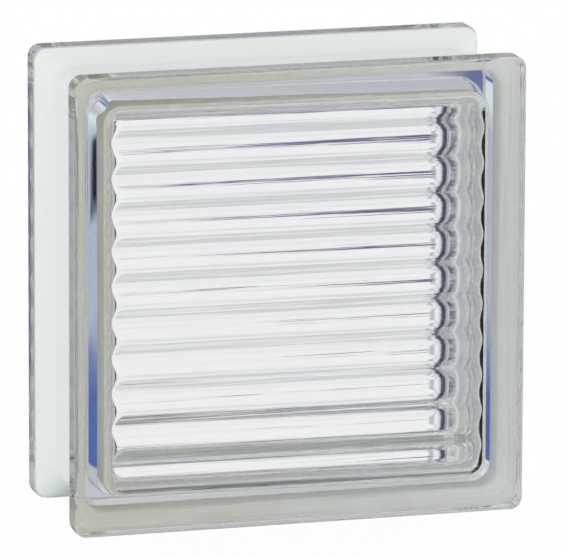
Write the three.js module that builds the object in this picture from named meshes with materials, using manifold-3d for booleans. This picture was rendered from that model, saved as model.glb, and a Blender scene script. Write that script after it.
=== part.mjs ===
// A square hollow glass block, as laid in walls and partitions.
//
// Two pressed glass half shells are fused mouth to mouth at mid depth. Each half has a flat
// face, a rim round it and a side wall that steps in behind the rim, so the two rims of the
// finished block stand proud of a mortar channel that runs round all four sides. Reeds, which
// are soft waves in the glass, run across the inside of both faces. A thin opaque coating
// lines the mortar channel.
//
// Millimetres, +Z up. X runs across the faces and Y from the front face to the rear one. The
// origin is the centre of the footprint: the block stands on its rims at Z = 0.

import * as THREE from 'three';
import { mergeVertices } from 'three/addons/utils/BufferGeometryUtils.js';
import Module from 'manifold-3d';

// Outside
const BLOCK_WIDTH = 190;
const BLOCK_DEPTH = 80;
const RIM_DEPTH = 9.5;
const RIM_CORNER_RADIUS = 5;
const FACE_EDGE_RADIUS = 2;

// Mortar channel
const CHANNEL_DEPTH = 7.5;
const CHANNEL_SHOULDER = 13;
const CHANNEL_CORNER_RADIUS = 8;
const SEAM_BEAD_HEIGHT = 0.5;
const SEAM_BEAD_HALF_WIDTH = 2.5;

// Inside
const FACE_THICKNESS = 6.7;
const WALL_AT_FACE = 6.9;
const WALL_DRAFT_DEG = 6;
const CAVITY_FILLET_RADIUS = 7;
const INNER_BEAD_HEIGHT = 1;
const INNER_BEAD_HALF_WIDTH = 4;

// Reeds across the inside of each face
const REED_PITCH = 14.8;
const REED_HEIGHT = 1.8;

// Edge coating in the mortar channel
const COATING_THICKNESS = 0.4;

// Facets along each round
const CORNER_STEPS = 4;
const EDGE_STEPS = 4;
const SHOULDER_STEPS = 8;
const FILLET_STEPS = 6;
const INNER_BEAD_STEPS = 3;
const REED_STEPS = 10;

// Overshoot of a cutting tool past the face that it cuts
const CUT_OVERSHOOT = 1;

// Radius of the sharpest corner of a cross-section
const SHARPEST_CORNER = 0.4;

const halfWidth = BLOCK_WIDTH / 2;
const faceDepth = -BLOCK_DEPTH / 2;
const seamDepth = 0;
const channelHalfWidth = halfWidth - CHANNEL_DEPTH;
const innerFaceDepth = faceDepth + FACE_THICKNESS;
const shoulderStart = faceDepth + RIM_DEPTH;
const wallDraft = THREE.MathUtils.degToRad(WALL_DRAFT_DEG);
const cavityHalfWidth = channelHalfWidth - WALL_AT_FACE;
const reededHalfWidth =
  cavityHalfWidth - (CAVITY_FILLET_RADIUS * (1 - Math.sin(wallDraft))) / Math.cos(wallDraft);

const wasm = await Module();
wasm.setup();

const glass = new THREE.MeshStandardMaterial({
  name: 'glass',
  color: 0xd9e6e1,
  roughness: 0.05,
  metalness: 0,
  transparent: true,
  opacity: 0.45,
});

const edgeCoat = new THREE.MeshStandardMaterial({
  name: 'edge_coat',
  color: 0xe6ebe5,
  roughness: 0.55,
  metalness: 0,
});

// Solids and meshes

function geometryToSolid(geometry) {
  const bare = geometry.index ? geometry.toNonIndexed() : geometry.clone();
  bare.deleteAttribute('normal');
  bare.deleteAttribute('uv');
  const merged = mergeVertices(bare);
  const vertProperties = Float32Array.from(merged.attributes.position.array);
  const triVerts = Uint32Array.from(merged.index.array);
  return new wasm.Manifold(new wasm.Mesh({ numProp: 3, vertProperties, triVerts }));
}

function solidToGeometry(solid) {
  const { numProp, vertProperties, triVerts } = solid.getMesh();
  const position = new Float32Array((vertProperties.length / numProp) * 3);
  for (let vertex = 0; vertex * 3 < position.length; vertex += 1) {
    for (let axis = 0; axis < 3; axis += 1) {
      position[vertex * 3 + axis] = vertProperties[vertex * numProp + axis];
    }
  }
  const geometry = new THREE.BufferGeometry();
  geometry.setAttribute('position', new THREE.BufferAttribute(position, 3));
  geometry.setIndex(new THREE.BufferAttribute(Uint32Array.from(triVerts), 1));
  geometry.computeVertexNormals();
  return geometry;
}

function namedMesh(name, geometry, material) {
  const mesh = new THREE.Mesh(geometry, material);
  mesh.name = name;
  return mesh;
}

// A cross-section of the block at one depth: a square with round corners, about the block's
// own axis, as a ring of points in order.

function sectionRing({ depth, half, corner }) {
  const radius = Math.max(corner, SHARPEST_CORNER);
  const straight = half - radius;
  const quarter = Math.PI / 2;
  const outline = new THREE.Shape();
  outline.absarc(straight, straight, radius, 0, quarter, false);
  outline.absarc(-straight, straight, radius, quarter, 2 * quarter, false);
  outline.absarc(-straight, -straight, radius, 2 * quarter, 3 * quarter, false);
  outline.absarc(straight, -straight, radius, 3 * quarter, 4 * quarter, false);
  const points = outline.getPoints(CORNER_STEPS);
  return points.map((point) => new THREE.Vector3(-point.x, depth, point.y + halfWidth));
}

function pushQuads(triangles, ringA, ringB) {
  for (let i = 0; i < ringA.length; i += 1) {
    const j = (i + 1) % ringA.length;
    triangles.push(ringA[i], ringA[j], ringB[j], ringA[i], ringB[j], ringB[i]);
  }
}

function pushCap(triangles, ring, facesFront) {
  const flat = ring.map((point) => new THREE.Vector2(point.x, point.z));
  for (const [a, b, c] of THREE.ShapeUtils.triangulateShape(flat, [])) {
    const corners = [ring[a], ring[b], ring[c]];
    const normal = new THREE.Triangle(...corners).getNormal(new THREE.Vector3());
    triangles.push(...((normal.y < 0) === facesFront ? corners : corners.reverse()));
  }
}

function trianglesToGeometry(triangles) {
  return new THREE.BufferGeometry().setFromPoints(triangles);
}

// The solid that passes through a run of cross-sections, from front to rear.

function loftSolid(sections) {
  const rings = sections.map(sectionRing);
  const triangles = [];
  pushCap(triangles, rings[0], true);
  for (let i = 0; i + 1 < rings.length; i += 1) {
    pushQuads(triangles, rings[i], rings[i + 1]);
  }
  pushCap(triangles, rings[rings.length - 1], false);
  return geometryToSolid(trianglesToGeometry(triangles));
}

// Outside of a half, from its face to the seam

function faceEdgeSections() {
  const sections = [];
  for (let step = 0; step <= EDGE_STEPS; step += 1) {
    const angle = (step / EDGE_STEPS) * (Math.PI / 2);
    const inset = FACE_EDGE_RADIUS * (1 - Math.sin(angle));
    sections.push({
      depth: faceDepth + FACE_EDGE_RADIUS * (1 - Math.cos(angle)),
      half: halfWidth - inset,
      corner: RIM_CORNER_RADIUS - inset,
    });
  }
  return sections;
}

function channelSections() {
  const sections = [];
  for (let step = 0; step <= SHOULDER_STEPS; step += 1) {
    const share = step / SHOULDER_STEPS;
    const fall = share * share * (3 - 2 * share);
    sections.push({
      depth: shoulderStart + CHANNEL_SHOULDER * share,
      half: halfWidth - CHANNEL_DEPTH * fall,
      corner: THREE.MathUtils.lerp(RIM_CORNER_RADIUS, CHANNEL_CORNER_RADIUS, fall),
    });
  }
  sections.push({
    depth: seamDepth - SEAM_BEAD_HALF_WIDTH,
    half: channelHalfWidth,
    corner: CHANNEL_CORNER_RADIUS,
  });
  sections.push({
    depth: seamDepth,
    half: channelHalfWidth + SEAM_BEAD_HEIGHT,
    corner: CHANNEL_CORNER_RADIUS + SEAM_BEAD_HEIGHT,
  });
  return sections;
}

// Inside of a half, from its inner face out past the seam. A fillet leads from the face into
// the drafted wall, and the corners turn about the ends of the reeded field, so that wall,
// wall and face come together as part of a ball. The fused seam stands in as a low bead.

function wallHalfAt(depth) {
  const share = Math.min((seamDepth - depth) / INNER_BEAD_HALF_WIDTH, 1);
  const bead = (INNER_BEAD_HEIGHT / 2) * (1 + Math.cos(Math.PI * share));
  return cavityHalfWidth + (depth - innerFaceDepth) * Math.tan(wallDraft) - bead;
}

function cavitySection(depth, half) {
  return { depth, half, corner: half - reededHalfWidth };
}

function cavitySections() {
  const sections = [];
  for (let step = 0; step <= FILLET_STEPS; step += 1) {
    const angle = (step / FILLET_STEPS) * (Math.PI / 2 - wallDraft);
    const depth = innerFaceDepth + CAVITY_FILLET_RADIUS * (1 - Math.cos(angle));
    const reach = CAVITY_FILLET_RADIUS * Math.sin(angle);
    sections.push(cavitySection(depth, reededHalfWidth + reach));
  }
  for (let step = 0; step <= INNER_BEAD_STEPS; step += 1) {
    const depth = seamDepth - INNER_BEAD_HALF_WIDTH * (1 - step / INNER_BEAD_STEPS);
    sections.push(cavitySection(depth, wallHalfAt(depth)));
  }
  sections.push(cavitySection(seamDepth + CUT_OVERSHOOT, wallHalfAt(seamDepth)));
  return sections;
}

// The reeded sheet of a face: a slab inside the face's own thickness whose back is a run of
// even waves, as many as the flat of the cavity takes, drawn as a side profile and run across
// the face.

function reedSheetSolid() {
  const reedCount = Math.floor((2 * reededHalfWidth) / REED_PITCH);
  const bottom = halfWidth - (reedCount * REED_PITCH) / 2;
  const slabFront = innerFaceDepth - CUT_OVERSHOOT;

  const profile = new THREE.Shape();
  profile.moveTo(slabFront, bottom);
  for (let step = 0; step <= reedCount * REED_STEPS; step += 1) {
    const reeds = step / REED_STEPS;
    const lift = (REED_HEIGHT / 2) * (1 - Math.cos(2 * Math.PI * reeds));
    profile.lineTo(innerFaceDepth + lift, bottom + reeds * REED_PITCH);
  }
  profile.lineTo(slabFront, bottom + reedCount * REED_PITCH);
  profile.closePath();

  const length = 2 * channelHalfWidth;
  const geometry = new THREE.ExtrudeGeometry(profile, { depth: length, bevelEnabled: false });
  const across = new THREE.Matrix4().makeBasis(
    new THREE.Vector3(0, 1, 0),
    new THREE.Vector3(0, 0, 1),
    new THREE.Vector3(1, 0, 0),
  );
  geometry.translate(0, 0, -length / 2);
  geometry.applyMatrix4(across);
  return geometryToSolid(geometry);
}

function halfShellGeometry() {
  const outside = loftSolid([...faceEdgeSections(), ...channelSections()]);
  const cavity = loftSolid(cavitySections()).subtract(reedSheetSolid());
  return solidToGeometry(outside.subtract(cavity));
}

// The coating runs from shoulder to shoulder over the seam, the same thickness all the way,
// and lies on the glass face to face. It starts where the shoulder is deep enough to keep it
// inside the rims. Its rear half is its front half turned about Z, as the rear shell is.

function edgeCoatingGeometry() {
  const onGlass = channelSections().filter(({ half }) => half + COATING_THICKNESS < halfWidth);
  const inFreeAir = onGlass.map(({ depth, half, corner }) => ({
    depth,
    half: half + COATING_THICKNESS,
    corner: corner + COATING_THICKNESS,
  }));
  const innerRings = onGlass.map(sectionRing);
  const outerRings = inFreeAir.map(sectionRing);
  const inside = [];
  const outside = [];
  for (let i = 0; i + 1 < innerRings.length; i += 1) {
    pushQuads(inside, innerRings[i], innerRings[i + 1]);
    pushQuads(outside, outerRings[i], outerRings[i + 1]);
  }
  pushQuads(outside, innerRings[0], outerRings[0]);
  const frontHalf = [...outside, ...inside.reverse()];
  const rearHalf = frontHalf.map(({ x, y, z }) => new THREE.Vector3(-x, -y, z));
  return solidToGeometry(geometryToSolid(trianglesToGeometry([...frontHalf, ...rearHalf])));
}

const block = new THREE.Group();
const shellGeometry = halfShellGeometry();
const frontShell = namedMesh('front_shell', shellGeometry, glass);
const rearShell = namedMesh('rear_shell', shellGeometry.clone(), glass);
rearShell.rotation.z = Math.PI;
block.add(frontShell, rearShell, namedMesh('edge_coating', edgeCoatingGeometry(), edgeCoat));

export default block;
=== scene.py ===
"""A square hollow glass block: pressed glass body, edge coating and a plain studio."""

import math

import bmesh
import bpy
from mathutils import Matrix, Vector, noise


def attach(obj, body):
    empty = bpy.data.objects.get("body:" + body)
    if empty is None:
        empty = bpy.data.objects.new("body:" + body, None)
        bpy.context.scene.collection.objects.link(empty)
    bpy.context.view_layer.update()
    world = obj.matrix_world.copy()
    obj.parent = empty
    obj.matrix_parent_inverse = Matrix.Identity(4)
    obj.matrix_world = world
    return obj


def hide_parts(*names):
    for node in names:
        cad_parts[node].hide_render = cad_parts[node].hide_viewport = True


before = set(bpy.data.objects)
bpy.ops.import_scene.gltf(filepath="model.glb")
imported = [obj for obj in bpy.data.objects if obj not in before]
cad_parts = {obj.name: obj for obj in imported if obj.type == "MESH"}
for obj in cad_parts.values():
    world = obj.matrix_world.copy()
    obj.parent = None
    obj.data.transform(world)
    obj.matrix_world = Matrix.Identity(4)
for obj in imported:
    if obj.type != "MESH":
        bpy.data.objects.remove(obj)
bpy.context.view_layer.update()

bl_info = {
    "name": "Glass Block",
    "version": (1, 0, 0),
    "blender": (4, 5, 0),
    "location": "3D View > Sidebar > Glass Block",
    "description": "Builds a hollow reeded glass block with a coated mortar channel",
    "category": "Add Mesh",
}

MM = 0.001


# Sizes and colours that a user would change

def length(name, description, millimetres):
    """A length setting, given in millimetres and kept in metres."""
    return bpy.props.FloatProperty(name=name, description=description,
                                   default=millimetres * MM, unit="LENGTH", precision=5)


def angle(name, description, degrees):
    """An angle setting, given in degrees and kept in radians."""
    return bpy.props.FloatProperty(name=name, description=description,
                                   default=math.radians(degrees), subtype="ANGLE")


def number(name, description, value):
    """A plain number setting."""
    return bpy.props.FloatProperty(name=name, description=description, default=value)


def colour(name, description, red, green, blue):
    """A colour setting."""
    return bpy.props.FloatVectorProperty(name=name, description=description,
                                         default=(red, green, blue), subtype="COLOR",
                                         min=0, max=1)


class GlassBodySettings(bpy.types.PropertyGroup):
    """Sizes and tint of the fused glass body."""

    width: length("Width", "Width and height of the faces", 190)
    depth: length("Depth", "From the front face to the rear one", 80)
    rim_depth: length("Rim depth", "Flat side of a rim", 9.5)
    rim_corner: length("Rim corner", "Radius of a rim's corners", 5)
    face_edge: length("Face edge", "Radius between a face and its rim", 2)
    channel_depth: length("Channel depth", "Depth of the mortar channel", 7.5)
    shoulder: length("Shoulder", "Run of the slope into the channel", 13)
    channel_corner: length("Channel corner", "Radius of the channel's corners", 8)
    bead_height: length("Seam bead", "Height of the fused seam outside", 0.5)
    bead_half_width: length("Seam bead half width", "Half the seam's width outside", 2.5)
    face_thickness: length("Face thickness", "Glass behind the valley of a reed", 6.7)
    wall: length("Wall", "Side wall at the inner face, from the channel floor", 6.9)
    draft: angle("Draft", "Taper of the cavity's walls", 6)
    fillet: length("Fillet", "Radius between the inner face and the walls", 8)
    inner_bead_height: length("Inner seam bead", "Height of the fused seam inside", 1)
    inner_bead_half_width: length("Inner seam bead half width",
                                  "Half the seam's width inside", 4)
    reed_pitch: length("Reed pitch", "From one reed to the next", 14.8)
    reed_height: length("Reed height", "Height of a reed over its valleys", 1.8)
    reed_softness: length("Reed softness", "Softness of the line where reeds meet walls", 0.5)
    reed_count: bpy.props.IntProperty(
        name="Reeds", description="Reeds on each inner face", default=10)
    waver: length("Waver", "Unevenness of the pressed inside", 0.06)
    draw_lines: length("Draw lines", "Height of the fine lines along the reeds", 0.15)
    inner_drop: length("Inner drop", "How much lower than the rims the inside sits", 0.3)
    inner_slope: number("Inner slope", "Fall of the inside towards the right", 0.0098)
    tint: colour("Tint", "Colour that thick glass turns light to", 0.72, 0.92, 0.89)


class EdgeCoatingSettings(bpy.types.PropertyGroup):
    """Sizes and colours of the coating in the mortar channel."""

    thickness: length("Thickness", "Thickness of the coating", 0.4)
    loose_front: length("Loose to the front",
                        "How far the coating is not bonded, from the seam forwards", 4)
    loose_rear: length("Loose to the rear",
                       "How far the coating is not bonded, from the seam backwards", 12)
    colour: colour("Colour", "Colour of the coating from outside", 0.79, 0.83, 0.81)
    # Painted light: the same paint as outside, given a colour near white against the glass to
    # stand in for the light that the glass keeps from it
    seen_through_with_painted_light: colour("Colour through glass", "Colour of the coating against the glass",
                         0.975, 0.992, 0.995)


class StudioSettings(bpy.types.PropertyGroup):
    """Place and lens of the camera."""

    azimuth: angle("Azimuth", "Camera angle about the block", -15.8)
    elevation: angle("Elevation", "Camera angle above the floor", 12.75)
    roll: angle("Roll", "Camera angle about its own axis", 0.2)
    distance: length("Distance", "From the camera to the block", 3200)
    lens: number("Lens", "Focal length in millimetres", 498.0)
    shift_x: number("Shift across", "Sideways shift of the lens", 0.0110)
    shift_y: number("Shift up", "Upward shift of the lens", -0.0030)


# The outside

CORNER_STEPS = 12


def section_points(half, corner, centre_z):
    """A square with round corners, as X and Z in order."""
    points = []
    straight = half - corner
    for quarter in range(4):
        middle = (quarter + 0.5) * math.pi / 2
        arc_x = math.copysign(straight, math.cos(middle))
        arc_z = math.copysign(straight, math.sin(middle))
        for step in range(CORNER_STEPS + 1):
            turn = (quarter + step / CORNER_STEPS) * math.pi / 2
            points.append((arc_x + corner * math.cos(turn),
                           centre_z + arc_z + corner * math.sin(turn)))
    return points


def add_ring(mesh, depth, half, corner, centre_z):
    """The points of one section of the block, at a depth behind the seam."""
    return [mesh.verts.new((x, depth, z)) for x, z in section_points(half, corner, centre_z)]


def bridge(mesh, ring_a, ring_b, material_index=0):
    """A band of faces between two closed rings of points."""
    count = len(ring_a)
    for i in range(count):
        j = (i + 1) % count
        face = mesh.faces.new((ring_a[i], ring_b[i], ring_b[j], ring_a[j]))
        face.material_index = material_index


def outer_profile(body, coating, bead_height=0.0):
    """Depth, half width and corner radius from the front face to the seam."""
    edge_steps = 8
    shoulder_steps = 16
    bead_steps = 4
    front = -body.depth / 2
    half = body.width / 2
    profile = []
    for step in range(edge_steps + 1):
        turn = step / edge_steps * math.pi / 2
        inset = body.face_edge * (1 - math.sin(turn))
        profile.append((front + body.face_edge * (1 - math.cos(turn)), half - inset,
                        body.rim_corner - inset))
    for step in range(shoulder_steps + 1):
        share = step / shoulder_steps
        fall = share * share * (3 - 2 * share)
        profile.append((front + body.rim_depth + body.shoulder * share,
                        half - body.channel_depth * fall,
                        body.rim_corner + (body.channel_corner - body.rim_corner) * fall))
    floor = half - body.channel_depth
    profile.append((-coating.loose_rear, floor, body.channel_corner))
    profile.append((-coating.loose_front, floor, body.channel_corner))
    for step in range(bead_steps + 1):
        share = step / bead_steps
        rise = bead_height * 0.5 * (1 - math.cos(math.pi * share))
        profile.append((-body.bead_half_width * (1 - share), floor + rise,
                        body.channel_corner + rise))
    return profile


def whole(profile):
    """A profile from the front to the seam, and on to the rear as its mirror image."""
    return profile + [(-depth, half, corner) for depth, half, corner in reversed(profile[:-1])]


def coated_reach(body, coating):
    """Depth, from the seam out, at which the channel is deep enough for the coating."""
    return max(-depth for depth, half, corner in outer_profile(body, coating)
               if depth > body.rim_depth - body.depth / 2
               and half + coating.thickness < body.width / 2)


def coat_slot(body, coating, depth):
    """Material at a depth behind the seam: 0 bare glass, 1 bonded coating."""
    if -coating.loose_front < depth < coating.loose_rear:
        return 0
    return 1 if abs(depth) < coated_reach(body, coating) else 0


# The inside

# Keeps the waver the same in each run
WAVER_SEED = 1


def smooth_max(a, b, softness):
    """The larger of two heights, with a soft line where they cross."""
    if softness <= 0:
        return max(a, b)
    blend = min(max(0.5 + 0.5 * (a - b) / softness, 0), 1)
    return b + (a - b) * blend + softness * blend * (1 - blend)


def reed_lift(body, z):
    """Height of the reeds over their valleys at height z from the middle of the face."""
    field = body.reed_count * body.reed_pitch / 2
    if abs(z) >= field:
        return 0.0
    return body.reed_height / 2 * (1 - math.cos(math.tau * (z + field) / body.reed_pitch))


def face_rows(body, flat_half):
    """Heights of the rows of points across an inner face, from its lower edge up."""
    reed_steps = 16
    field = body.reed_count * body.reed_pitch / 2
    rows = [-field + step / reed_steps * body.reed_pitch
            for step in range(body.reed_count * reed_steps + 1)]
    return [-flat_half, *(row for row in rows if abs(row) < flat_half), flat_half]


def face_stations(rows, columns, flat_half):
    """Points round an inner face, each with the direction in which the fillet leaves it."""
    right = [(flat_half, z, 1.0, 0.0) for z in rows]
    top = [(x, flat_half, 0.0, 1.0) for x in reversed(columns)]
    left = [(-flat_half, z, -1.0, 0.0) for z in reversed(rows)]
    bottom = [(x, -flat_half, 0.0, -1.0) for x in columns]
    stations = []
    for quarter, edge in enumerate((right, top, left, bottom)):
        stations += edge
        end_x, end_z = edge[-1][:2]
        for step in range(1, CORNER_STEPS):
            turn = (quarter + step / CORNER_STEPS) * math.pi / 2
            stations.append((end_x, end_z, math.cos(turn), math.sin(turn)))
    return stations


def add_cavity_half(mesh, body, side, centre_z):
    """One half of the cavity: reeded face, fillet, drafted wall and inner bead."""
    column_count = 48
    fillet_steps = 16
    wall_steps = 6
    bead_steps = 10
    waver_scale = 30 * MM
    calm_at_seam = 5 * MM
    seam = body.depth / 2 - body.face_thickness
    wall_half = body.width / 2 - body.channel_depth - body.wall
    fillet_end = body.fillet * (1 - math.sin(body.draft))
    flat_half = wall_half - fillet_end / math.cos(body.draft)
    rows = face_rows(body, flat_half)
    columns = [flat_half * (2 * i / column_count - 1) for i in range(column_count + 1)]
    stations = face_stations(rows, columns, flat_half)

    def place(x, lift, z):
        depth = lift - seam
        waver = body.waver * noise.noise_vector(
            Vector((x * side, depth * side, z)) / waver_scale)
        spot = Vector((x, depth, z)) + waver * min(1, -depth / calm_at_seam)
        fall = body.inner_drop + body.inner_slope * spot.x * side
        return mesh.verts.new((spot.x * side, spot.y * side, spot.z + centre_z - fall))

    def outline(reach, drop):
        softness = min(body.reed_softness, drop)
        return [place(x + out_x * reach, smooth_max(reed_lift(body, z), drop, softness),
                      z + out_z * reach) for x, z, out_x, out_z in stations]

    grid = [[place(x, reed_lift(body, z), z) for x in columns] for z in rows]
    for low, high in zip(grid, grid[1:]):
        for i in range(column_count):
            mesh.faces.new((low[i], low[i + 1], high[i + 1], high[i]))

    rings = [outline(0.0, 0.0)]
    for step in range(1, fillet_steps + 1):
        turn = step / fillet_steps * (math.pi / 2 - body.draft)
        rings.append(outline(body.fillet * math.sin(turn), body.fillet * (1 - math.cos(turn))))
    bead_start = seam - body.inner_bead_half_width
    drops = [fillet_end + (bead_start - fillet_end) * step / wall_steps
             for step in range(1, wall_steps)]
    drops += [bead_start + body.inner_bead_half_width * step / bead_steps
              for step in range(bead_steps + 1)]
    for drop in drops:
        share = min((seam - drop) / body.inner_bead_half_width, 1)
        bead = body.inner_bead_height / 2 * (1 + math.cos(math.pi * share))
        rings.append(outline(wall_half + drop * math.tan(body.draft) - bead - flat_half, drop))
    for ring_a, ring_b in zip(rings, rings[1:]):
        bridge(mesh, ring_a, ring_b)


def add_cavity(mesh, body, centre_z):
    """The sealed hollow, with its faces turned away from the glass."""
    noise.seed_set(WAVER_SEED)
    outside = set(mesh.faces)
    outside_points = len(mesh.verts)
    for side in (1, -1):
        add_cavity_half(mesh, body, side, centre_z)
    bmesh.ops.remove_doubles(mesh, verts=list(mesh.verts)[outside_points:], dist=0.001 * MM)
    inside = [face for face in mesh.faces if face not in outside]
    bmesh.ops.recalc_face_normals(mesh, faces=inside)
    bmesh.ops.reverse_faces(mesh, faces=inside)


# Meshes of the pieces

def glass_body_mesh(body, coating):
    """Both half shells as one skin, round one sealed cavity."""
    centre_z = body.width / 2
    mesh = bmesh.new()
    profile = whole(outer_profile(body, coating))
    rings = [add_ring(mesh, *section, centre_z) for section in profile]
    mesh.faces.new(rings[0])
    mesh.faces.new(list(reversed(rings[-1])))
    for i in range(len(rings) - 1):
        middle = (profile[i][0] + profile[i + 1][0]) / 2
        bridge(mesh, rings[i], rings[i + 1], coat_slot(body, coating, middle))
    bmesh.ops.recalc_face_normals(mesh, faces=mesh.faces)
    add_cavity(mesh, body, centre_z)
    return mesh


def edge_coating_mesh(body, coating):
    """A thin closed band round the channel, just clear of the glass, with the seam's bead."""
    clearance = 0.02 * MM
    centre_z = body.width / 2
    reach = coated_reach(body, coating)
    mesh = bmesh.new()

    def rings(grow, bead_height=0.0):
        profile = [section for section in outer_profile(body, coating, bead_height)
                   if section[0] >= -reach]
        return [add_ring(mesh, depth, half + grow, corner + grow, centre_z)
                for depth, half, corner in whole(profile)]

    inner = rings(clearance)
    outer = rings(coating.thickness, body.bead_height)
    for i in range(len(inner) - 1):
        bridge(mesh, outer[i], outer[i + 1])
        bridge(mesh, inner[i + 1], inner[i])
    bridge(mesh, inner[0], outer[0])
    bridge(mesh, outer[-1], inner[-1])
    bmesh.ops.recalc_face_normals(mesh, faces=mesh.faces)
    return mesh


def new_piece(name, mesh):
    """An object made from a finished mesh, linked to the scene."""
    data = bpy.data.meshes.new(name)
    mesh.to_mesh(data)
    mesh.free()
    piece = bpy.data.objects.new(name, data)
    bpy.context.scene.collection.objects.link(piece)
    return piece


def weighted_smooth(piece):
    """Smooth shading in which flat faces stay flat."""
    for polygon in piece.data.polygons:
        polygon.use_smooth = True
    piece.modifiers.new("weighted_normals", "WEIGHTED_NORMAL")


# Nodes

def feed(tree, socket, value):
    """Link a socket to another node's output, or set its number, vector or colour."""
    if isinstance(value, bpy.types.NodeSocket):
        tree.links.new(value, socket)
    elif socket.type == "RGBA":
        socket.default_value = (*value, 1)
    else:
        socket.default_value = value


def new_node(tree, kind, inputs):
    """A node with the inputs that are named set or linked."""
    node = tree.nodes.new(kind)
    for name, value in inputs.items():
        feed(tree, node.inputs[name], value)
    return node


def math_node(tree, operation, *values):
    """A Math node whose inputs are numbers or outputs of other nodes."""
    node = tree.nodes.new("ShaderNodeMath")
    node.operation = operation
    for socket, value in zip(node.inputs, values):
        feed(tree, socket, value)
    return node.outputs[0]


def product(tree, first, *others):
    """All values multiplied."""
    for other in others:
        first = math_node(tree, "MULTIPLY", first, other)
    return first


def span_node(tree, value, start, stop):
    """Rises from 0 to 1 as the value goes from start to stop."""
    node = new_node(tree, "ShaderNodeMapRange",
                    {"Value": value, "From Min": start, "From Max": stop})
    return node.outputs["Result"]


def ramp_node(tree, value, stops):
    """A colour ramp with stops of a position and a colour."""
    node = new_node(tree, "ShaderNodeValToRGB", {"Fac": value})
    elements = node.color_ramp.elements
    while len(elements) < len(stops):
        elements.new(0.5)
    for element, (position, shade) in zip(elements, stops):
        element.position = position
        element.color = (*shade, 1)
    return node.outputs["Color"]


def mix_colours(tree, factor, a, b, blend="MIX"):
    """Colour a where the factor is 0, and b, or the blend of both, where it is 1."""
    node = tree.nodes.new("ShaderNodeMix")
    node.data_type = "RGBA"
    node.blend_type = blend
    for name, kind, value in (("Factor", "VALUE", factor), ("A", "RGBA", a), ("B", "RGBA", b)):
        feed(tree, next(s for s in node.inputs if (s.name, s.type) == (name, kind)), value)
    return next(s for s in node.outputs if s.type == "RGBA")


def split_node(tree, vector):
    """The X, Y and Z of a vector."""
    return new_node(tree, "ShaderNodeSeparateXYZ", {"Vector": vector}).outputs


def stretched(tree, place, scale):
    """A place with each of its axes scaled."""
    return new_node(tree, "ShaderNodeMapping",
                    {"Vector": place, "Scale": scale}).outputs["Vector"]


def centred_noise(tree, place, scale=1.0, detail=3.0, roughness=0.5):
    """Noise that varies about 0."""
    node = new_node(tree, "ShaderNodeTexNoise", {
        "Vector": place, "Scale": scale, "Detail": detail, "Roughness": roughness})
    return math_node(tree, "SUBTRACT", node.outputs["Fac"], 0.5)


# Materials

WHITE = (1.0, 1.0, 1.0)
GLASS_IOR = 1.52
TINT_DENSITY = 1.2
# Repeats in a metre, along X, Y and Z
DRAW_LINE_REPEATS = (6, 60, 620)
STREAK_REPEATS = (22, 800, 22)
MOTTLING_REPEATS = 1000.0
# Painted shade turns the coating to its thin colour towards the left; the line of the shade
# leans with the height over its middle, so that the top is shaded too
SIDE_SHADE_MIDDLE = 95 * MM
SIDE_SHADE_LEAN = 0.3
# How much of each channel is left where the coating is thin, and against the glass also where
# painted shade darkens it to olive
THIN_OUTSIDE = (0.93, 0.93, 0.93)
THIN_AND_SHADED_THROUGH_GLASS = (0.88, 0.87, 0.76)


def new_material(name):
    """A material and its empty node tree."""
    material = bpy.data.materials.new(name)
    material.use_nodes = True
    material.node_tree.nodes.clear()
    return material, material.node_tree


def sprayed_coat_group():
    """Streaks along the channel, fine mottling and painted shade across the block, as a colour
    and a height.
    """
    group = bpy.data.node_groups.get("sprayed_coat")
    if group:
        return group
    group = bpy.data.node_groups.new("sprayed_coat", "ShaderNodeTree")
    for name, in_out, kind in (
            ("Thick Colour", "INPUT", "Color"), ("Thin And Shaded Colour", "INPUT", "Color"),
            ("Streaks", "INPUT", "Float"), ("Mottling", "INPUT", "Float"),
            ("Side Shade", "INPUT", "Float"), ("Colour", "OUTPUT", "Color"),
            ("Height", "OUTPUT", "Float")):
        group.interface.new_socket(name, in_out=in_out, socket_type="NodeSocket" + kind)
    source = group.nodes.new("NodeGroupInput").outputs
    place = group.nodes.new("ShaderNodeTexCoord").outputs["Object"]
    streaks = centred_noise(group, stretched(group, place, STREAK_REPEATS))
    mottling = centred_noise(group, place, MOTTLING_REPEATS, detail=4.0, roughness=0.6)
    x, _, z = split_node(group, place)
    # Painted shade: the colour turns to the thin one towards the left and the top, as strongly
    # as the side shade is set
    lean = product(group, math_node(group, "SUBTRACT", z, SIDE_SHADE_MIDDLE), SIDE_SHADE_LEAN)
    side_shade = product(group, math_node(group, "SUBTRACT", x, lean), source["Side Shade"])
    level = math_node(group, "ADD", product(group, streaks, source["Streaks"]), math_node(
        group, "ADD", product(group, mottling, source["Mottling"]), side_shade))
    height = math_node(group, "ADD", level, 0.5)
    share = new_node(group, "ShaderNodeClamp", {"Value": height}).outputs["Result"]
    mixed = mix_colours(group, share, source["Thin And Shaded Colour"], source["Thick Colour"])
    new_node(group, "NodeGroupOutput", {"Colour": mixed, "Height": height})
    return group


def coating_material(name, thick, thinning_and_shade, streaks, mottling, side_shade, roughness,
                     specular=0.5):
    """Matt sprayed coating, whose thick and thin places differ in colour and height, and which
    painted shade darkens towards the left and top.
    """
    # The thin colour is also the colour of the painted shade
    thin = [channel * share for channel, share in zip(thick, thinning_and_shade)]
    material, tree = new_material(name)
    coat = tree.nodes.new("ShaderNodeGroup")
    coat.node_tree = sprayed_coat_group()
    for socket, value in zip(coat.inputs, (thick, thin, streaks, mottling, side_shade)):
        feed(tree, socket, value)
    bump = new_node(tree, "ShaderNodeBump", {
        "Strength": 0.15, "Distance": 0.1 * MM, "Height": coat.outputs["Height"]})
    shader = new_node(tree, "ShaderNodeBsdfPrincipled", {
        "Base Color": coat.outputs["Colour"], "Roughness": roughness,
        "Specular IOR Level": specular, "Normal": bump.outputs["Normal"]})
    new_node(tree, "ShaderNodeOutputMaterial", {"Surface": shader.outputs["BSDF"]})
    return material


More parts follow.
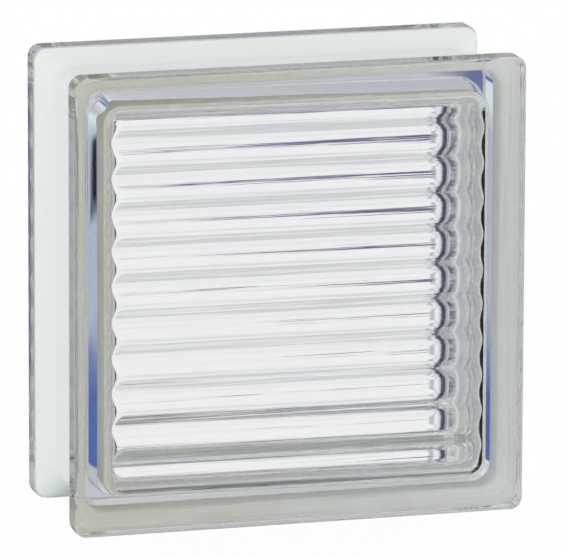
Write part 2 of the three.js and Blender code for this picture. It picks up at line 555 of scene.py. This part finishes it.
def glass_material(body):
    """Clear glass with a tint in its depth and fine draw lines on the reeded faces."""
    material, tree = new_material("pressed_glass")
    place = tree.nodes.new("ShaderNodeTexCoord").outputs["Object"]
    x, y, z = split_node(tree, place)
    depth = math_node(tree, "ABSOLUTE", y)
    height = math_node(tree, "SUBTRACT", z, body.width / 2)
    aside = math_node(tree, "MAXIMUM", math_node(tree, "ABSOLUTE", x),
                      math_node(tree, "ABSOLUTE", height))
    inner_face = body.depth / 2 - body.face_thickness
    # On the reeds alone, not on the cavity's walls or the outer faces
    ripple = product(
        tree, centred_noise(tree, stretched(tree, place, DRAW_LINE_REPEATS)),
        span_node(tree, depth, inner_face - 3 * MM, inner_face - 2 * MM),
        math_node(tree, "LESS_THAN", depth, inner_face + 3 * MM),
        math_node(tree, "LESS_THAN", aside, body.width / 2 - body.channel_depth))
    bump = new_node(tree, "ShaderNodeBump", {"Distance": body.draw_lines, "Height": ripple})
    shader = new_node(tree, "ShaderNodeBsdfPrincipled", {
        "Base Color": WHITE, "Roughness": 0.0, "IOR": GLASS_IOR, "Transmission Weight": 1.0,
        "Normal": bump.outputs["Normal"]})
    absorption = new_node(tree, "ShaderNodeVolumeAbsorption",
                          {"Color": body.tint, "Density": TINT_DENSITY})
    new_node(tree, "ShaderNodeOutputMaterial", {
        "Surface": shader.outputs["BSDF"], "Volume": absorption.outputs["Volume"]})
    return material


def floor_material():
    """Pale floor that stays white to the camera, with a faint shadow of the block."""
    whiteness = 0.94
    material, tree = new_material("floor")
    diffuse = new_node(tree, "ShaderNodeBsdfDiffuse", {"Color": (0.98, 0.98, 0.98)})
    white = new_node(tree, "ShaderNodeEmission", {"Color": WHITE})
    path = tree.nodes.new("ShaderNodeLightPath").outputs
    share = product(tree, path["Is Camera Ray"], whiteness)
    mix = tree.nodes.new("ShaderNodeMixShader")
    for socket, value in zip(mix.inputs, (
            share, diffuse.outputs["BSDF"], white.outputs["Emission"])):
        feed(tree, socket, value)
    new_node(tree, "ShaderNodeOutputMaterial", {"Surface": mix.outputs["Shader"]})
    return material


# Pieces

class GLASSBLOCK_OT_glass_body(bpy.types.Operator):
    """Build the fused glass body in place of the two half shells"""

    bl_idname = "glassblock.glass_body"
    bl_label = "Glass body"

    def execute(self, context):
        body = context.scene.glass_body
        coating = context.scene.edge_coating
        piece = new_piece("glass_body", glass_body_mesh(body, coating))
        weighted_smooth(piece)
        piece.data.materials.append(glass_material(body))
        # Against the glass the coating is painted lighter than outside, as painted light
        piece.data.materials.append(coating_material(
            "coating_against_glass", coating.seen_through_with_painted_light, THIN_AND_SHADED_THROUGH_GLASS,
            # A side shade of 5 paints shade on the coating against the glass, darker and more
            # olive to the left and top
            streaks=3.0, mottling=1.6, side_shade=5.0, roughness=0.9, specular=0.0))
        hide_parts("front_shell", "rear_shell")
        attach(piece, "root")
        return {"FINISHED"}


class GLASSBLOCK_OT_edge_coating(bpy.types.Operator):
    """Build the coating that lines the mortar channel"""

    bl_idname = "glassblock.edge_coating"
    bl_label = "Edge coating"

    def execute(self, context):
        body = context.scene.glass_body
        coating = context.scene.edge_coating
        piece = new_piece("edge_coating_film", edge_coating_mesh(body, coating))
        weighted_smooth(piece)
        piece.data.materials.append(coating_material(
            "edge_coating", coating.colour, THIN_OUTSIDE,
            streaks=0.8, mottling=0.8, side_shade=0.0, roughness=0.5))
        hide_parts("edge_coating")
        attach(piece, "root")
        return {"FINISHED"}


# Stage

BLACK = (0.0, 0.0, 0.0)
INK = (0.0, 0.0, 0.02)
# Degrees about the block, 0 straight behind it and 90 to its right, and what clear glass
# shows there: first through the cavity, then through the rims
BEHIND_WINDOWS = [
    (-180, WHITE), (-43, WHITE), (-40, INK), (-15, INK), (-5, (0.5, 0.5, 0.6)), (2, WHITE),
    (22, WHITE), (25, (0.52, 0.55, 0.60)), (31, (0.52, 0.55, 0.60)), (34, WHITE),
    (40, (0.88, 0.90, 0.96)), (46, (0.60, 0.63, 0.78)), (48, (0.14, 0.16, 0.30)),
    (49.5, INK), (64, INK), (68, (0.10, 0.11, 0.24)), (73, (0.34, 0.37, 0.54)),
    (79, (0.50, 0.55, 0.70)), (90, WHITE), (180, WHITE)]
BEHIND_RIMS = [
    (-180, (0.45, 0.47, 0.55)), (45, (0.55, 0.57, 0.66)), (90, (0.60, 0.62, 0.70)),
    (180, (0.45, 0.47, 0.55))]
# The same for light that was turned back inside the glass
AROUND_EDGES = [
    (-180, (0.50, 0.53, 0.60)), (-158, (0.46, 0.50, 0.62)), (-148, (0.45, 0.48, 0.60)),
    (-143, INK), (-122, INK), (-116, (0.40, 0.40, 0.42)), (-90, (0.48, 0.48, 0.46)),
    (-28, (0.50, 0.53, 0.55)), (-19, (0.42, 0.47, 0.58)), (-12, (0.42, 0.47, 0.58)),
    (2, (0.50, 0.51, 0.54)), (82, (0.50, 0.50, 0.54)), (126, (0.50, 0.50, 0.58)),
    (140, (0.58, 0.58, 0.64)), (156, (0.50, 0.53, 0.60)), (160, (0.02, 0.02, 0.03)),
    (169, (0.02, 0.02, 0.03)), (173, (0.50, 0.53, 0.60)), (180, (0.50, 0.53, 0.60))]
# Light on matt surfaces from the sides, from the front and rear, and from above, and how
# much of it moves from the front to the rear
LIGHT_FROM_SIDES = 1.05
LIGHT_FROM_ENDS = 2.5
LIGHT_FROM_ABOVE = 0.3
LIGHT_TO_REAR = 0.35


def panorama(tree, across, stops):
    """A colour ramp all round the block, with stops in degrees."""
    place = span_node(tree, across, -180, 180)
    return ramp_node(tree, place, [((degrees + 180) / 360, shade) for degrees, shade in stops])


def patch(tree, base, shade, *masks):
    """A shade laid over a colour where all masks meet: outputs, or spans of a value."""
    masks = [span_node(tree, *mask) if isinstance(mask, tuple) else mask for mask in masks]
    return mix_colours(tree, product(tree, *masks), base, shade)


def through_cavity(tree, across, rise, right):
    """What clear glass shows through both reeded faces."""
    ground = mix_colours(tree, right, (0.845, 0.855, 0.845), (0.68, 0.695, 0.72))
    ground = patch(tree, ground, (0.42, 0.41, 0.44), (rise, -37, -43))
    ground = patch(tree, ground, (0.94, 0.945, 0.94), (rise, -30, -17))
    ground = mix_colours(tree, 1.0, ground, panorama(tree, across, BEHIND_WINDOWS), "MULTIPLY")
    # The dark of the sky starts lower towards the right
    slant = math_node(tree, "ADD", rise, product(
        tree, math_node(tree, "SUBTRACT", across, 16), 3.5))
    sky = mix_colours(tree, span_node(tree, slant, 6.5, 9.8), (0.84, 0.85, 0.89),
                      (0.10, 0.09, 0.21))
    sky = patch(tree, sky, (0.40, 0.40, 0.48), (rise, 13, 18))
    return patch(tree, ground, sky, (rise, 3, 7))


def through_rims(tree, across):
    """What clear glass shows through a rim alone."""
    rims = panorama(tree, across, BEHIND_RIMS)
    return patch(tree, rims, (0.13, 0.16, 0.33), (across, 16.9, 17.25), (across, 30, 22))


def around_edges(tree, across, rise, right, solid, path):
    """What clear glass shows by light that was turned back inside it."""
    hollow = math_node(tree, "GREATER_THAN", path["Transmission Depth"], 2.5)
    turned_often = math_node(tree, "GREATER_THAN", path["Glossy Depth"], 2.5)
    edges = panorama(tree, across, AROUND_EDGES)
    # Dark flags to the right: one for light that stayed in solid glass, one for the rest
    edges = patch(tree, edges, BLACK, (across, 82, 86), (across, 126, 122), solid)
    edges = patch(tree, edges, (0.13, 0.12, 0.22), (across, 98, 101), (across, 134, 130),
                  hollow)
    # The sky
    veil = mix_colours(tree, right, (0.60, 0.60, 0.62), (0.52, 0.53, 0.58))
    veil = patch(tree, veil, (0.62, 0.63, 0.65), (rise, 14, 17))
    edges = patch(tree, edges, veil, (rise, -1, 2))
    # Deep blue under pale blue at the rear left, with a black slot between them
    strip = product(tree, span_node(tree, across, -24, -20), span_node(tree, across, -9, -12))
    edges = patch(tree, edges, (0.07, 0.12, 0.40), strip, (rise, -12.9, -13.6))
    edges = patch(tree, edges, (0.68, 0.77, 0.81), strip, (rise, -11.7, -11.5))
    edges = patch(tree, edges, INK, (across, -28, -25), (across, -13.8, -14.25),
                  (rise, -12.32, -12.18), (rise, -11.66, -11.76), turned_often)
    # The ground to the right and the front: dark far down, pale nearer the horizon
    edges = patch(tree, edges, (0.19, 0.20, 0.22), (across, 90, 96), (across, 165, 155),
                  (rise, -56, -62))
    return patch(tree, edges, (0.62, 0.60, 0.68), (across, 126, 132), (rise, -18, -24), hollow)


def matt_light(tree, x, y, z):
    """Light that comes to matt surfaces from a direction."""
    sides = product(tree, x, x, LIGHT_FROM_SIDES)
    ends = product(tree, math_node(
        tree, "ADD", product(tree, y, LIGHT_FROM_ENDS), LIGHT_TO_REAR), y)
    above = product(tree, z, z, LIGHT_FROM_ABOVE)
    return math_node(tree, "ADD", sides, math_node(tree, "ADD", ends, above))


def build_world(scene):
    """White to the camera, soft to matt surfaces, and with dark flags behind clear glass."""
    world = bpy.data.worlds.new("studio")
    scene.world = world
    world.use_nodes = True
    tree = world.node_tree
    tree.nodes.clear()
    x, y, z = split_node(tree, tree.nodes.new("ShaderNodeTexCoord").outputs["Generated"])
    across = math_node(tree, "DEGREES", math_node(tree, "ARCTAN2", x, y))
    rise = math_node(tree, "DEGREES", math_node(tree, "ARCSINE", z))
    right = span_node(tree, across, 14.4, 17.2)
    path = tree.nodes.new("ShaderNodeLightPath").outputs
    clear = math_node(tree, "LESS_THAN", path["Diffuse Depth"], 0.5)
    solid = math_node(tree, "LESS_THAN", path["Transmission Depth"], 2.5)
    turned = math_node(tree, "GREATER_THAN", path["Glossy Depth"], 0.5)

    through = mix_colours(tree, solid, through_cavity(tree, across, rise, right),
                          through_rims(tree, across))
    through = mix_colours(tree, turned, through,
                          around_edges(tree, across, rise, right, solid, path))
    mirror = mix_colours(tree, span_node(tree, rise, 40, 55), (0.06, 0.06, 0.07), WHITE)
    seen = mix_colours(tree, path["Is Camera Ray"], matt_light(tree, x, y, z), WHITE)
    seen = patch(tree, seen, mirror, path["Is Glossy Ray"], clear)
    seen = patch(tree, seen, through, path["Is Transmission Ray"], clear)
    background = new_node(tree, "ShaderNodeBackground", {"Color": seen, "Strength": 1.0})
    new_node(tree, "ShaderNodeOutputWorld", {"Surface": background.outputs["Background"]})


def add_camera(scene, studio):
    """The camera, turned to the middle of the block."""
    target = Vector((0, 0, scene.glass_body.width / 2))
    back = Vector((math.sin(studio.azimuth) * math.cos(studio.elevation),
                   -math.cos(studio.azimuth) * math.cos(studio.elevation),
                   math.sin(studio.elevation)))
    data = bpy.data.cameras.new("camera")
    data.lens = studio.lens
    data.sensor_width = 36
    data.shift_x = studio.shift_x
    data.shift_y = studio.shift_y
    data.clip_end = 20
    camera = bpy.data.objects.new("camera", data)
    scene.collection.objects.link(camera)
    facing = back.to_track_quat("Z", "Y").to_matrix().to_4x4()
    camera.matrix_world = (Matrix.Translation(target + back * studio.distance) @ facing
                           @ Matrix.Rotation(studio.roll, 4, "Z"))
    scene.camera = camera


def add_floor():
    """The floor, which clear glass doesn't show, as it shows the world alone."""
    half_width = 6
    mesh = bmesh.new()
    bmesh.ops.create_grid(mesh, x_segments=1, y_segments=1, size=half_width)
    floor = new_piece("floor", mesh)
    floor.data.materials.append(floor_material())
    floor.visible_transmission = False
    floor.visible_glossy = False


class GLASSBLOCK_OT_studio(bpy.types.Operator):
    """Build the camera, floor and world"""

    bl_idname = "glassblock.studio"
    bl_label = "Studio"

    def execute(self, context):
        scene = context.scene
        add_camera(scene, scene.studio)
        add_floor()
        build_world(scene)
        scene.view_settings.view_transform = "Standard"
        # Enough for light that is turned back many times inside the glass
        scene.cycles.max_bounces = 48
        scene.cycles.transmission_bounces = 32
        scene.cycles.glossy_bounces = 40
        scene.cycles.diffuse_bounces = 16
        return {"FINISHED"}


class GLASSBLOCK_PT_panel(bpy.types.Panel):
    """Lists the block's pieces and the studio"""

    bl_idname = "GLASSBLOCK_PT_panel"
    bl_label = "Glass Block"
    bl_space_type = "VIEW_3D"
    bl_region_type = "UI"
    bl_category = "Glass Block"

    def draw(self, context):
        for operator in OPERATORS:
            self.layout.operator(operator.bl_idname)


SETTINGS = {"glass_body": GlassBodySettings, "edge_coating": EdgeCoatingSettings,
            "studio": StudioSettings}
OPERATORS = (GLASSBLOCK_OT_glass_body, GLASSBLOCK_OT_edge_coating, GLASSBLOCK_OT_studio)
CLASSES = (*SETTINGS.values(), *OPERATORS, GLASSBLOCK_PT_panel)


def register():
    """Add the settings, operators and panel."""
    for cls in CLASSES:
        bpy.utils.register_class(cls)
    for name, settings in SETTINGS.items():
        setattr(bpy.types.Scene, name, bpy.props.PointerProperty(type=settings))


def unregister():
    """Take them all out again."""
    for name in SETTINGS:
        delattr(bpy.types.Scene, name)
    for cls in reversed(CLASSES):
        bpy.utils.unregister_class(cls)


def main():
    """Build the pieces and the studio in order."""
    register()
    for operator in OPERATORS:
        group, name = operator.bl_idname.split(".")
        getattr(getattr(bpy.ops, group), name)()


if __name__ == "__main__":
    main()
